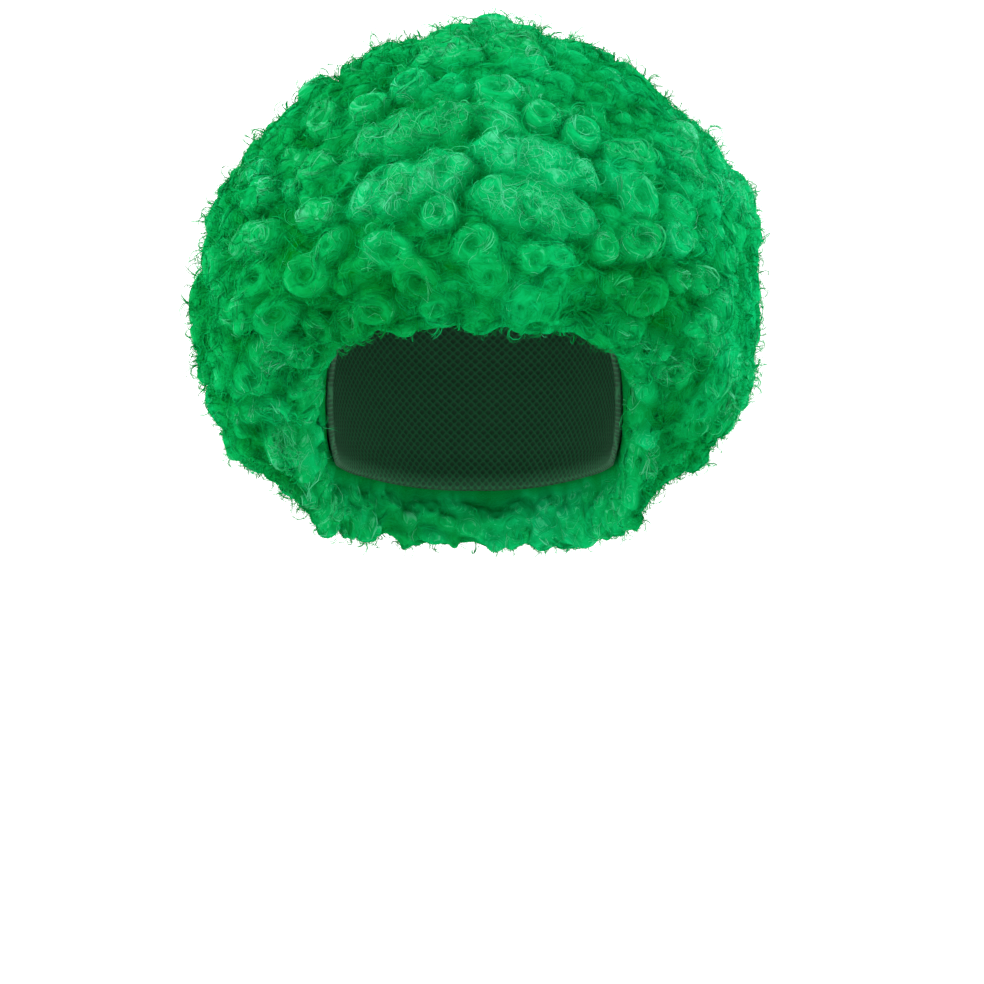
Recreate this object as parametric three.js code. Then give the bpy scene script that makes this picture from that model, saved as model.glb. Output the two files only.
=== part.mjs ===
// A curly costume wig: a stretch net cap with rings of curled hair sewn round it.
// Millimetres, +Z up. The face looks along -Y, and +X is on the right of someone facing the wearer.
// The origin is where the crown of a head touches the inside of the cap.
import * as THREE from "three";

const { degToRad, radToDeg, lerp, clamp, smoothstep } = THREE.MathUtils;

// Driving dimensions

// Both forms are egg shapes about the middle of the head, given by their reach each way.
const HEAD = { side: 75, front: 96, back: 98, up: 80, down: 140 };
const HAIR = { side: 137, front: 137, back: 151, up: 136, down: 122 };
const HAIR_LEAN = 7; // how far the top of the hair stands to the +X side of the head
const MIDDLE = new THREE.Vector3(0, 0, -HEAD.up);

// The net cap
const CAP_WALL = 1.5;
const HEM_WALL = 3;
const HEM_TURN = 4; // height of the hem, in degrees
const CAP_EDGE_TUCK = 5; // degrees by which the cap's edge lies above the edge of the hair

// The rings of hair
const WEFT_COUNT = 8;
const CROWN_SHARE = 0.1; // the crown's rosette, as a share of the way from crown to edge
const STEPS = 44; // round a ring
const CURL_STEPS = 2; // that one curl takes up
const WIDE_CURL_STEPS = 4; // the same in the small rings near the crown
const WIDE_RINGS = 2; // rings of such curls
const SEWN_GAP = 0.5; // from the cap to the hair
const EDGE_STAND = 4; // the same at the lower edge, past the cap
const SEAM_GAP = 0.4; // from one ring to the next
const ZIGZAG = 0.14; // how far a seam steps up and down between curls, in ring heights

// The lower edge, towards which the hair rounds in
const EDGE_THICKNESS = 12;
const EDGE_ROLL_SHARE = 0.84; // where the rounding starts, as a share of the way from crown to edge

// A curl is a bun with a dimple: loops from the valley round it to its middle, each given by its
// size against the valley's loop and by its height over the hair's form.
const CURL = [
  { loop: "valley", size: 1, height: -15 },
  { loop: "shoulder", size: 0.8, height: -3.5 },
  { loop: "crest", size: 0.44, height: 0 },
  { loop: "dimple", size: 0, height: -8 },
];
const CURL_SHIFT = 0.16; // how far a crest may lie off the middle of its curl, in curl sizes
const CURL_SWELL = 4; // how far curls differ in height
const DECIMALS = 43758.5453; // spreads the chance differences between curls
const CURL_KEYS = { ring: 137, swell: 0.13, across: 0.31, down: 0.57 };

// Where the hair ends below, from the middle of the fringe round to the nape.
// Azimuth is measured from the face and polar from straight up, in degrees.
const EDGE = [
  { place: "fringe", azimuth: 0, polar: 94 },
  { place: "fringe end", azimuth: 26, polar: 95 },
  { place: "brow corner", azimuth: 44, polar: 101 },
  { place: "temple", azimuth: 56, polar: 112 },
  { place: "sideburn", azimuth: 68, polar: 131 },
  { place: "ear", azimuth: 86, polar: 142 },
  { place: "behind the ear", azimuth: 115, polar: 143 },
  { place: "nape", azimuth: 180, polar: 141 },
];

const HAIR_FIBRE = new THREE.MeshStandardMaterial({ color: 0x0fa452, roughness: 0.6, metalness: 0 });
const NET_CLOTH = new THREE.MeshStandardMaterial({ color: 0x0b5a30, roughness: 0.9, metalness: 0 });

// Form of the head and the hair

// A direction from the middle of the head.
function direction(azimuth, polar) {
  const a = degToRad(azimuth);
  const p = degToRad(polar);
  return new THREE.Vector3(Math.sin(p) * Math.sin(a), -Math.sin(p) * Math.cos(a), Math.cos(p));
}

// How far an egg shape reaches from the middle in a direction.
function reach(form, towards) {
  const x = towards.x / form.side;
  const y = towards.y / (towards.y < 0 ? form.front : form.back);
  const z = towards.z / (towards.z > 0 ? form.up : form.down);
  return 1 / Math.hypot(x, y, z);
}

// The polar angle of the hair's lower edge.
function edgePolar(azimuth) {
  const turn = Math.abs(azimuth > 180 ? azimuth - 360 : azimuth);
  const next = clamp(EDGE.findIndex((row) => row.azimuth >= turn), 1, EDGE.length - 1);
  const from = EDGE[next - 1];
  const to = EDGE[next];
  return lerp(from.polar, to.polar, (turn - from.azimuth) / (to.azimuth - from.azimuth));
}

// A point on the head's form or at a height over it.
function onHead(azimuth, polar, height) {
  const towards = direction(azimuth, polar);
  return towards.multiplyScalar(reach(HEAD, towards) + height).add(MIDDLE);
}

// A point on the hair's form or at a height over it. The form rounds in towards its lower edge.
function onHair(azimuth, polar, height) {
  const towards = direction(azimuth, polar);
  const lean = HAIR_LEAN * Math.max(0, towards.z);
  const share = polar / edgePolar(azimuth);
  const spare = reach(HAIR, towards) + CURL[0].height - reach(HEAD, towards) - CAP_WALL - EDGE_THICKNESS;
  const roll = spare * smoothstep(share, EDGE_ROLL_SHARE, 1) ** 2;
  const point = towards.multiplyScalar(reach(HAIR, towards) + height - roll).add(MIDDLE);
  point.x += lean;
  return point;
}

// A number from -1 to 1 that looks random and is the same each time: the far decimals of a sine.
function vary(key) {
  const wave = Math.sin(key) * DECIMALS;
  return 2 * (wave - Math.floor(wave)) - 1;
}

// Surfaces

// Collects the points and faces of one closed surface.
class Surface {
  constructor() {
    this.points = [];
    this.index = [];
  }

  add(points) {
    const first = this.points.length;
    this.points.push(...points);
    return points.map((_, i) => first + i);
  }

  // Faces between two closed rows of equally many points, the second on the left of the first.
  band(right, left) {
    right.forEach((point, i) => {
      const next = (i + 1) % right.length;
      this.index.push(point, right[next], left[next], point, left[next], left[i]);
    });
  }

  // The same with its faces split the other way, to lie flat against the back of another band.
  backBand(right, left) {
    right.forEach((point, i) => {
      const next = (i + 1) % right.length;
      this.index.push(point, right[next], left[i], right[next], left[next], left[i]);
    });
  }

  // Faces from a closed row of points to its middle, on the left of the row.
  fan(row, middle) {
    const [centre] = this.add([middle]);
    row.forEach((point, i) => this.index.push(point, row[(i + 1) % row.length], centre));
  }

  geometry() {
    const geometry = new THREE.BufferGeometry().setFromPoints(this.points);
    geometry.setIndex(this.index);
    geometry.computeVertexNormals();
    return geometry;
  }
}

const STEP_TURN = 360 / STEPS;
const allSteps = Array.from({ length: STEPS }, (_, step) => step);

// Shares of the way from crown to edge at which one ring of hair ends and the next begins.
const seams = Array.from({ length: WEFT_COUNT + 1 }, (_, i) => lerp(CROWN_SHARE, 1, i / WEFT_COUNT));

// The places along a seam. Seams step up and down, so that curls lie in the gaps of the next ring.
// A ring keeps half a gap below its upper seam (side 1) and above its lower one (side -1).
function seamPlaces(seam, side) {
  return allSteps.map((step) => {
    const azimuth = step * STEP_TURN;
    const edge = edgePolar(azimuth);
    const shared = seam < WEFT_COUNT;
    const stepped = shared && seam > WIDE_RINGS;
    const rise = ZIGZAG * (seams[1] - seams[0]) * edge * ((step + seam) % 2 ? 1 : -1);
    const zigzag = stepped ? rise : 0;
    const gap = shared ? radToDeg(SEAM_GAP / 2 / HEAD.side) : 0;
    return { azimuth, polar: seams[seam] * edge + zigzag + side * gap };
  });
}

// Cap

// The net dome: its outside from crown to edge, the edge, then its inside, thicker at the hem.
function cap() {
  const surface = new Surface();
  const edge = seamPlaces(WEFT_COUNT, 0);
  const raised = (up) => edge.map((at) => ({ azimuth: at.azimuth, polar: at.polar - up }));
  const rows = [
    ...seams.slice(0, -1).map((_, seam) => ({ places: seamPlaces(seam, 0), wall: CAP_WALL })),
    { places: raised(CAP_EDGE_TUCK + HEM_TURN), wall: HEM_WALL },
    { places: raised(CAP_EDGE_TUCK), wall: HEM_WALL },
  ];
  const addRow = (places, height) => surface.add(places.map((at) => onHead(at.azimuth, at.polar, height)));
  const outside = rows.map((row) => addRow(row.places, CAP_WALL));
  const inside = rows.map((row) => addRow(row.places, CAP_WALL - row.wall));
  surface.fan(outside[0], onHead(0, 0, CAP_WALL));
  surface.fan([...inside[0]].reverse(), onHead(0, 0, 0));
  for (let i = 1; i < rows.length; i++) {
    surface.band(outside[i], outside[i - 1]);
    surface.band(inside[i - 1], inside[i]);
  }
  surface.band(inside.at(-1), outside.at(-1));
  return surface.geometry();
}

// Rings of hair

const valleyPoint = (at) => onHair(at.azimuth, at.polar, CURL[0].height);
const sewnPoint = (at) => onHead(at.azimuth, at.polar, CAP_WALL + SEWN_GAP);
const hangingPoint = (at) => onHead(at.azimuth, at.polar, CAP_WALL + EDGE_STAND);

// The middle and half span of a list of numbers.
function spread(values) {
  const least = Math.min(...values);
  const most = Math.max(...values);
  return { middle: (least + most) / 2, half: (most - least) / 2 };
}

// Adds one curl inside its valley, whose places run round it anticlockwise.
function addCurl(surface, valley, valleyPoints, key) {
  const across = spread(valley.map((at) => at.azimuth));
  const down = spread(valley.map((at) => at.polar));
  const swell = CURL_SWELL * vary(key + CURL_KEYS.swell);
  const place = (at, row) => {
    const off = CURL_SHIFT * (1 - row.size);
    const aside = off * across.half * vary(key + CURL_KEYS.across);
    const below = off * down.half * vary(key + CURL_KEYS.down);
    const azimuth = lerp(across.middle, at.azimuth, row.size) + aside;
    const polar = lerp(down.middle, at.polar, row.size) + below;
    return onHair(azimuth % 360, polar, row.height + swell * (1 - row.size));
  };
  let outer = valleyPoints;
  for (const row of CURL.slice(1, -1)) {
    const inner = surface.add(valley.map((at) => place(at, row)));
    surface.band(outer, inner);
    outer = inner;
  }
  surface.fan(outer, place(valley[0], CURL.at(-1)));
}

// One ring: its curls outside, and plain faces towards the cap and the rings above and below.
function weft(number) {
  const surface = new Surface();
  const topPlaces = seamPlaces(number - 1, 1);
  const bottomPlaces = seamPlaces(number, -1);
  const top = surface.add(topPlaces.map(valleyPoint));
  const bottom = surface.add(bottomPlaces.map(valleyPoint));
  const sewnTop = surface.add(topPlaces.map(sewnPoint));
  const sewnBottom = surface.add(bottomPlaces.map(number < WEFT_COUNT ? sewnPoint : hangingPoint));
  surface.band(top, sewnTop);
  surface.backBand(sewnTop, sewnBottom);
  surface.band(sewnBottom, bottom);

  const width = number <= WIDE_RINGS ? WIDE_CURL_STEPS : CURL_STEPS;
  const count = STEPS / width;
  const start = (number % 2) * (width / 2);
  const sidePlaces = Array.from({ length: count }, (_, k) => {
    const step = k * width + start;
    const polar = (topPlaces[step].polar + bottomPlaces[step].polar) / 2;
    return { azimuth: topPlaces[step].azimuth, polar };
  });
  const side = surface.add(sidePlaces.map(valleyPoint));

  for (let k = 0; k < count; k++) {
    const first = k * width + start;
    const across = Array.from({ length: width + 1 }, (_, i) => (first + i) % STEPS);
    const loop = (upper, between, lower) => [
      between[k],
      ...across.map((step) => lower[step]),
      between[(k + 1) % count],
      ...across.map((step) => upper[step]).reverse(),
    ];
    const valley = loop(topPlaces, sidePlaces, bottomPlaces).map((at) => ({
      azimuth: at.azimuth < first * STEP_TURN ? at.azimuth + 360 : at.azimuth,
      polar: at.polar,
    }));
    addCurl(surface, valley, loop(top, side, bottom), CURL_KEYS.ring * number + k);
  }
  return surface.geometry();
}

// The rosette at the crown: one round bun over the middle of the cap.
function crownRosette() {
  const surface = new Surface();
  const places = seamPlaces(0, -1);
  const bottom = surface.add(places.map(valleyPoint));
  const sewn = surface.add(places.map(sewnPoint));
  surface.band(sewn, bottom);
  surface.fan([...sewn].reverse(), onHead(0, 0, CAP_WALL + SEWN_GAP));
  let outer = bottom;
  for (const row of CURL.slice(1, -1)) {
    const inner = surface.add(places.map((at) => onHair(at.azimuth, at.polar * row.size, row.height)));
    surface.band(outer, inner);
    outer = inner;
  }
  surface.fan(outer, onHair(0, 0, CURL.at(-1).height));
  return surface.geometry();
}

// Assembly

function piece(name, geometry, material) {
  const mesh = new THREE.Mesh(geometry, material);
  mesh.name = name;
  return mesh;
}

const wig = new THREE.Group();
wig.add(piece("cap", cap(), NET_CLOTH));
wig.add(piece("crown_rosette", crownRosette(), HAIR_FIBRE));
for (let number = 1; number <= WEFT_COUNT; number++) {
  wig.add(piece(`weft_${number}`, weft(number), HAIR_FIBRE));
}

export default wig;
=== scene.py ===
"""A curly costume wig: a stretch net cap covered in soft curls of synthetic fibre, in a plain studio."""

import bpy
import numpy as np
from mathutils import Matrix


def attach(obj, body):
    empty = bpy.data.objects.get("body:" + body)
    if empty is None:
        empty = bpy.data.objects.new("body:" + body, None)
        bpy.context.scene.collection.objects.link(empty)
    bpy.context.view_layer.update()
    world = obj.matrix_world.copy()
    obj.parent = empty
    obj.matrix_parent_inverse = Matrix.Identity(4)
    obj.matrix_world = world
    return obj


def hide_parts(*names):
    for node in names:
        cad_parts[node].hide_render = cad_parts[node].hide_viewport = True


bl_info = {
    "name": "Curly wig",
    "version": (1, 0, 0),
    "blender": (4, 5, 0),
    "location": "View3D > Sidebar > Wig",
    "description": "Builds the net cap, the curled hair and the studio of a costume wig",
    "category": "Object",
}

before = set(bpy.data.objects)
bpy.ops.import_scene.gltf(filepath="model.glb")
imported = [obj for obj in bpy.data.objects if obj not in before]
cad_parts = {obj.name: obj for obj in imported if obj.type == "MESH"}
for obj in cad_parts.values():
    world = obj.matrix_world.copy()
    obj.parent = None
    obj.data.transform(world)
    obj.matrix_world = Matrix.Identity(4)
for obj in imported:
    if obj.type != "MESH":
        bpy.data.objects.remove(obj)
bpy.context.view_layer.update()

MM = 0.001

# The forms of the cap's inside and of the hair about the wig's middle, in millimetres, as in the solids.
CAP = {"side": 75, "front": 96, "back": 98, "up": 80, "down": 140}
HAIR = {"side": 137, "front": 137, "back": 151, "up": 136, "down": 122}
HAIR_LEAN = 7
MIDDLE = np.array([0.0, 0.0, -CAP["up"]])
CAP_WALL = 1.5
HEM_WALL = 3.0
HEM_TURN = 4.0
CAP_EDGE_TUCK = 5.0
VALLEY = 15.0
EDGE_THICKNESS = 12.0
EDGE_ROLL_SHARE = 0.84
CROWN_SHARE = 0.1
WEFT_COUNT = 8

# Where the hair ends below: azimuth from the front, polar angle from straight up, in degrees.
EDGE = np.array(
    [(0, 94), (26, 95), (44, 101), (56, 112), (68, 131), (86, 142), (115, 143), (180, 141)],
    dtype=float,
)

# Waves of that edge: how many round the wig, how high in degrees, and where they start in radians.
EDGE_WAVES = [(13, 0.5, 0.0), (23, 0.6, 1.3), (37, 0.3, 0.4)]
# At the sides of the front opening, where the edge is steep, a further wave sets in and ends over these
# azimuths.
SIDE_WAVE = (31, 2.4, 0.7)
SIDE_SETS_IN = (42, 52)
SIDE_ENDS = (70, 84)
SWAY_SHARE = 0.88

# The underside of the hair runs on from the edge back to the cap, over this further share.
UNDER_SHARE = 0.14
UNDER_STAND = 6.0
UNDER_SAG = 3.0
UNDERSIDE = 1.04  # from this share on, the hair counts as its underside
LAST_SHARE = 1.19
PACKED_DEPTH = 7.5
PACKED_DEPTH_BELOW = 3.0
PACKED_SHARES = (1.0, 1.12)  # where the one gives way to the other
INSIDE_RISE = 90.0

# The studio: the camera stands level with the middle of the picture.
CAMERA_AT = np.array([8.3, -1550.0, -164.0])
PIXEL = 0.475
PICTURE = 984
FLOOR = -392.0
SENSOR = 36.0
AIR_LIGHT = 0.9
PAPER_BEND, PAPER_BACK, PAPER_SPAN = 1500.0, 3600.0, 5000.0
LIGHTS = [
    # name, place, size, power, target
    ("key_light", (-1600, -1050, 900), 1500, 34.0, MIDDLE),
    ("fill_light", (1700, -800, 500), 1400, 17.0, MIDDLE),
    ("top_light", (100, 300, 1500), 1200, 3.0, MIDDLE),
    ("wall_light", (0, 1500, 2300), 1500, 70.0, (0, 3600, 300)),
]
RAY_SPAN, RAY_STEPS = (0.85, 1.08), 900  # where the camera's ray is tried, in shares of its length
SEEN_LAST = 0.985  # the largest share of a curl that is placed from the picture

# Curls that stand out in the front view: where they show in the picture, in pixels, their outer radius
# in millimetres, the length of a roll (0 for a ring seen end on), the way it lies in degrees, and how far
# it stands above its neighbours.
SEEN_CURLS = [
    # x, y, radius, length, lie, rise
    (409, 124, 14.5, 70, 21, 1.0),
    (406, 180, 15.0, 68, 21, 1.2),
    (537, 155, 13.5, 66, -19, 1.0),
    (536, 203, 14.0, 66, -17, 1.2),
    (635, 148, 8.5, 34, -5, 1.0),
    (312, 164, 9.5, 27, 12, 1.4),
    (314, 211, 10.5, 29, 8, 1.4),
    (255, 190, 12.0, 34, 18, 1.6),
    (248, 236, 12.5, 42, 6, 1.6),
    (212, 298, 10.0, 32, 80, -1.6),
    (249, 363, 12.0, 0, 0, 1.0),
    (273, 401, 8.5, 0, 0, 1.2),
    (401, 135, 5.5, 0, 0, 1.8),
    (397, 181, 5.5, 0, 0, 2.0),
    (540, 155, 5.8, 0, 0, 1.8),
    (535, 204, 6.4, 0, 0, 2.0),
    (319, 115, 12.0, 0, 0, 1.5),
    (367, 101, 9.5, 0, 0, 1.5),
    (407, 78, 10.5, 0, 0, 1.0),
    (499, 85, 11.0, 0, 0, 1.5),
    (543, 111, 9.0, 0, 0, 1.5),
    (584, 128, 9.5, 0, 0, 1.5),
    (438, 211, 8.5, 0, 0, 1.8),
    (474, 243, 11.0, 0, 0, 1.5),
    (387, 250, 12.0, 0, 0, 1.8),
    (302, 275, 13.5, 0, 0, 1.5),
    (414, 283, 12.5, 0, 0, 1.0),
    (535, 258, 7.0, 0, 0, 2.0),
    (561, 256, 6.4, 0, 0, 2.0),
    (608, 245, 7.0, 0, 0, 1.5),
    (643, 193, 12.0, 0, 0, 1.4),
    (644, 238, 11.5, 0, 0, 1.4),
    (683, 236, 9.0, 0, 0, 1.4),
    (700, 166, 10.0, 0, 0, 1.2),
    (708, 280, 8.5, 0, 0, 1.4),
    (624, 286, 7.0, 0, 0, 1.2),
    (655, 300, 11.5, 0, 0, 1.4),
    (684, 279, 6.5, 0, 0, 1.2),
    (735, 288, 6.5, 0, 0, 1.0),
    (707, 326, 8.5, 0, 0, 1.4),
    (684, 367, 8.5, 0, 0, 1.4),
    (650, 388, 8.0, 0, 0, 1.4),
    (705, 394, 8.5, 0, 0, 1.4),
    (362, 311, 9.5, 0, 0, 2.0),
    (328, 332, 9.5, 0, 0, 1.0),
    (433, 311, 6.5, 0, 0, 2.0),
    (303, 410, 8.0, 0, 0, 1.0),
    (258, 466, 8.5, 0, 0, 2.0),
    (278, 492, 8.0, 0, 0, 2.5),
]


def linear(code):
    """An sRGB hex colour as linear red, green and blue."""
    srgb = np.array([int(code[i : i + 2], 16) for i in (1, 3, 5)]) / 255
    return tuple(np.where(srgb <= 0.04045, srgb / 12.92, ((srgb + 0.055) / 1.055) ** 2.4))


class WigSizes(bpy.types.PropertyGroup):
    """Sizes of the curls and the strands"""

    seed: bpy.props.IntProperty(
        name="Seed", description="Chance arrangement of the curls", default=11, min=0
    )
    large_curl: bpy.props.FloatProperty(
        name="Large curl", description="Outer radius of the largest curls", default=15.0 * MM, unit="LENGTH"
    )
    small_curl: bpy.props.FloatProperty(
        name="Small curl", description="Outer radius of the smallest curls", default=6.4 * MM, unit="LENGTH"
    )
    strand: bpy.props.FloatProperty(
        name="Strand", description="Width of a strand of fibres in a wisp", default=0.4 * MM, unit="LENGTH"
    )
    wisps: bpy.props.FloatProperty(
        name="Wisps", description="Wisps that lie on a square centimetre of hair", default=2.0, min=0
    )
    stray: bpy.props.FloatProperty(
        name="Stray strand", description="Width of a stray fibre", default=0.22 * MM, unit="LENGTH"
    )
    frizz: bpy.props.FloatProperty(
        name="Frizz", description="Stray fibres that lie on a square centimetre of hair", default=3.0, min=0
    )
    loops: bpy.props.FloatProperty(
        name="Loops", description="Stray loops that stand on a square centimetre of hair", default=12.0, min=0
    )
    locks: bpy.props.FloatProperty(
        name="Locks", description="Small curls that stand on a square centimetre of hair", default=1.2, min=0
    )


class WigColours(bpy.types.PropertyGroup):
    """Colours of the fibre and the net. Deep and pale carry painted shade and painted highlight: the fibre is
    painted deep between the curls and pale on their crests.
    """

    # Painted shade and highlight: deep is the colour painted low between the curls, where shade falls; pale is
    # the colour on the crests, partly their paler frizz and partly painted highlight.
    deep: bpy.props.FloatVectorProperty(
        name="Deep", description="Fibre deep between the curls", subtype="COLOR", default=linear("#02721C")
    )
    middle: bpy.props.FloatVectorProperty(
        name="Middle", description="Fibre on the flanks of a curl", subtype="COLOR", default=linear("#08AA58")
    )
    pale: bpy.props.FloatVectorProperty(
        name="Pale", description="Fibre on the crest of a curl", subtype="COLOR", default=linear("#7CE4BE")
    )
    net: bpy.props.FloatVectorProperty(
        name="Net", description="Thread of the stretch net", subtype="COLOR", default=linear("#0B5A32")
    )


# Form of the wig, in millimetres


def smoothstep(value, low, high):
    """0 below low, 1 above high, eased between them."""
    t = np.clip((value - low) / (high - low), 0, 1)
    return t * t * (3 - 2 * t)


def unit(vectors):
    """The vectors with length 1."""
    return vectors / np.maximum(np.linalg.norm(vectors, axis=-1, keepdims=True), 1e-9)


def towards(azimuth, polar):
    """Directions from the wig's middle: azimuth turns from the front to +X, polar from straight up."""
    a, p = np.radians(azimuth), np.radians(polar)
    return np.stack([np.sin(p) * np.sin(a), -np.sin(p) * np.cos(a), np.cos(p) + 0 * a], -1)


def reach(form, way):
    """How far an egg shape reaches: an ellipsoid with its own half axis on each side of the middle."""
    x = way[..., 0] / form["side"]
    y = way[..., 1] / np.where(way[..., 1] < 0, form["front"], form["back"])
    z = way[..., 2] / np.where(way[..., 2] > 0, form["up"], form["down"])
    return 1 / np.sqrt(x * x + y * y + z * z)


def edge_polar(azimuth):
    """The polar angle of the hair's lower edge, from the table, eased over ten degrees."""
    turns = np.asarray(azimuth)[..., None] + np.array([-5.0, 0.0, 5.0])
    return np.interp(np.abs((turns + 180) % 360 - 180), EDGE[:, 0], EDGE[:, 1]).mean(-1)


def edge_wave(azimuth):
    """How far the lower edge sways up and down with its curls, in degrees: a sum of sines round the wig."""
    turn = np.radians(azimuth)
    away = np.abs((azimuth + 180) % 360 - 180)
    waves, height, start = SIDE_WAVE
    beside = height * smoothstep(away, *SIDE_SETS_IN) * (1 - smoothstep(away, *SIDE_ENDS))
    sway = beside * np.sin(waves * turn + start)
    return sum(height * np.sin(waves * turn + start) for waves, height, start in EDGE_WAVES) + sway


def hair_point(azimuth, share, height=0.0):
    """A point on the hair's form, at a share of the way from crown to edge; past 1 it runs under the edge to
    the cap and then a little up beside the cap.
    The form is the hair's egg shape, drawn in towards the lower edge by the square of a smooth step."""
    azimuth, share = np.broadcast_arrays(np.asarray(azimuth, float), np.asarray(share, float))
    under = np.clip((share - 1) / UNDER_SHARE, 0, 1)
    polar = np.minimum(share, 1) * edge_polar(azimuth) + UNDER_SAG * np.sin(np.pi * under)
    polar = polar - INSIDE_RISE * np.maximum(share - 1 - UNDER_SHARE, 0)
    polar = polar + edge_wave(azimuth) * smoothstep(share, SWAY_SHARE, 1)
    way = towards(azimuth, polar)
    hair, cap = reach(HAIR, way), reach(CAP, way)
    roll = (hair - VALLEY - cap - CAP_WALL - EDGE_THICKNESS) * smoothstep(share, EDGE_ROLL_SHARE, 1) ** 2
    out = hair - roll
    out = out + (cap + UNDER_STAND - out) * under + height
    point = way * out[..., None] + MIDDLE
    point[..., 0] += HAIR_LEAN * np.maximum(way[..., 2], 0)
    return point


def surface_area(azimuth, share, turn=1.0, fall=0.01):
    """A measure of the hair's area about a place: the area of a patch of fixed angle and share."""
    azimuth, share = np.asarray(azimuth, float), np.asarray(share, float)
    across = hair_point(azimuth + turn, share) - hair_point(azimuth - turn, share)
    down = hair_point(azimuth, share + fall) - hair_point(azimuth, share - fall)
    return np.linalg.norm(across, axis=-1) * np.linalg.norm(down, axis=-1)


def hair_thickness(azimuth, share):
    """How thick the hair is over the cap."""
    away = hair_point(azimuth, share) - MIDDLE
    return np.linalg.norm(away, axis=-1) - reach(CAP, unit(away))


POLE_SHARE = 0.02  # nearer to the crown than this, the way out is the same as at this share


def hair_out(azimuth, share, turn=0.6, fall=0.005):
    """The direction straight out of the hair's form, from the slope across and down it."""
    share = np.maximum(share, POLE_SHARE)
    across = hair_point(azimuth + turn, share) - hair_point(azimuth - turn, share)
    down = hair_point(azimuth, share + fall) - hair_point(azimuth, share - fall)
    return unit(np.cross(unit(down), unit(across)))


def cap_point(azimuth, polar, height):
    """A point at a height over the egg shape of the cap's inside."""
    way = towards(azimuth, polar)
    return way * (reach(CAP, way) + height)[..., None] + MIDDLE


def form_place(away):
    """The azimuth and share of a way from the wig's middle."""
    azimuth = np.degrees(np.arctan2(away[..., 0], -away[..., 1])) % 360
    polar = np.degrees(np.arccos(away[..., 2] / np.linalg.norm(away, axis=-1)))
    return azimuth, polar / edge_polar(azimuth)


def seen_place(x, y):
    """The azimuth and share of the hair's form where the camera's ray through a pixel first meets it."""
    aim = np.stack([(x - PICTURE / 2) * PIXEL, -CAMERA_AT[1] + 0 * x, (PICTURE / 2 - y) * PIXEL], -1)
    steps = np.linspace(*RAY_SPAN, RAY_STEPS)
    points = CAMERA_AT + aim[:, None, :] * steps[:, None] - MIDDLE
    distance = np.linalg.norm(points, axis=-1)
    points[..., 0] -= HAIR_LEAN * np.maximum(points[..., 2] / distance, 0)
    inside = np.linalg.norm(points, axis=-1) < reach(HAIR, unit(points))
    first = np.argmax(inside, axis=1)
    azimuth, share = form_place(points[np.arange(len(x)), first])
    return azimuth, np.minimum(share, SEEN_LAST)


FRINGE_STARTS = 0.76  # the share at which the fringe sets in
FRINGE_SIDES = (0.55, 0.85)  # cosines of the azimuths over which it sets in from the sides


def in_fringe(azimuth, share, full):
    """How far a place belongs to the fringe: 1 at the front near the edge, eased up to the share full."""
    front = smoothstep(np.cos(np.radians(azimuth)), *FRINGE_SIDES)
    return smoothstep(share, FRINGE_STARTS, full) * front


# Meshes


def add_mesh(name, points, faces, uv, material):
    """A smooth mesh object from points in millimetres, an array of quads whose last two corners may be the
    same, and the place of each point on the colour map."""
    triangle = faces[:, 2] == faces[:, 3]
    keep = np.ones(faces.shape, bool)
    keep[:, 3] = ~triangle
    corners = faces[keep].astype(np.int32)
    starts = np.concatenate([[0], np.cumsum(keep.sum(1))[:-1]]).astype(np.int32)
    mesh = bpy.data.meshes.new(name)
    mesh.vertices.add(len(points))
    mesh.vertices.foreach_set("co", (points * MM).astype(np.float32).ravel())
    mesh.loops.add(len(corners))
    mesh.loops.foreach_set("vertex_index", corners)
    mesh.polygons.add(len(faces))
    mesh.polygons.foreach_set("loop_start", starts)
    mesh.polygons.foreach_set("use_smooth", np.ones(len(faces), bool))
    mesh.update(calc_edges=True)
    layer = mesh.uv_layers.new(name="OFBake")
    layer.data.foreach_set("uv", uv[corners].astype(np.float32).ravel())
    mesh.materials.append(material)
    piece = bpy.data.objects.new(name, mesh)
    bpy.context.scene.collection.objects.link(piece)
    return piece


def grid_faces(rows, columns, closed):
    """Quads of a grid of rows times columns points, joined up across the columns if closed."""
    across = np.arange(columns if closed else columns - 1)
    row, column = np.meshgrid(np.arange(rows - 1), across, indexing="ij")
    after = (column + 1) % columns
    here, below = row * columns, (row + 1) * columns
    corners = [here + column, below + column, below + after, here + after]
    return np.stack([c.ravel() for c in corners], -1)


def repeated(faces, count, stride):
    """The faces of one shape for count copies whose points follow each other."""
    return (faces[None] + stride * np.arange(count)[:, None, None]).reshape(-1, 4)


class Collected:
    """Points, faces and colour places of the shapes of one piece."""

    def __init__(self):
        self.points, self.faces, self.uv, self.total = [], [], [], 0

    def add(self, points, faces, uv):
        """Adds the points of some shapes, with faces counted from their first point."""
        points = points.reshape(-1, 3)
        self.points.append(points)
        self.faces.append(faces + self.total)
        self.uv.append(uv.reshape(-1, 2))
        self.total += len(points)

    def piece(self, name, material):
        """One mesh object of all that was added."""
        points, faces, uv = (np.concatenate(parts) for parts in (self.points, self.faces, self.uv))
        return add_mesh(name, points, faces, uv, material)


# Curls

CLEAR = 0.62  # how near two curls may come, in the sum of their outer radii
LONG = 34.0  # a curl longer than this keeps others clear along its whole length
FRIZZY = 50.0  # a curl longer than this is brushed out to frizz
SOFTNESS = 0.9  # how sharply one lobe meets the next, for each millimetre of height
BODY_PART = 0.5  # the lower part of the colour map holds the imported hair, the upper part the fibres

# Sizes of curl from large to small, as a share of the way from small to large, with the number of places
# tried for each and how far they stand above or below the hair's form: the small ones fill the valleys.
CURL_STAGES = [
    # share, tries, lowest, highest
    (1.0, 4000, -4.0, 0.8),
    (0.62, 7000, -5.0, 0.8),
    (0.3, 9000, -5.5, 0.5),
    (0.0, 14000, -6.0, -1.0),
]


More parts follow.
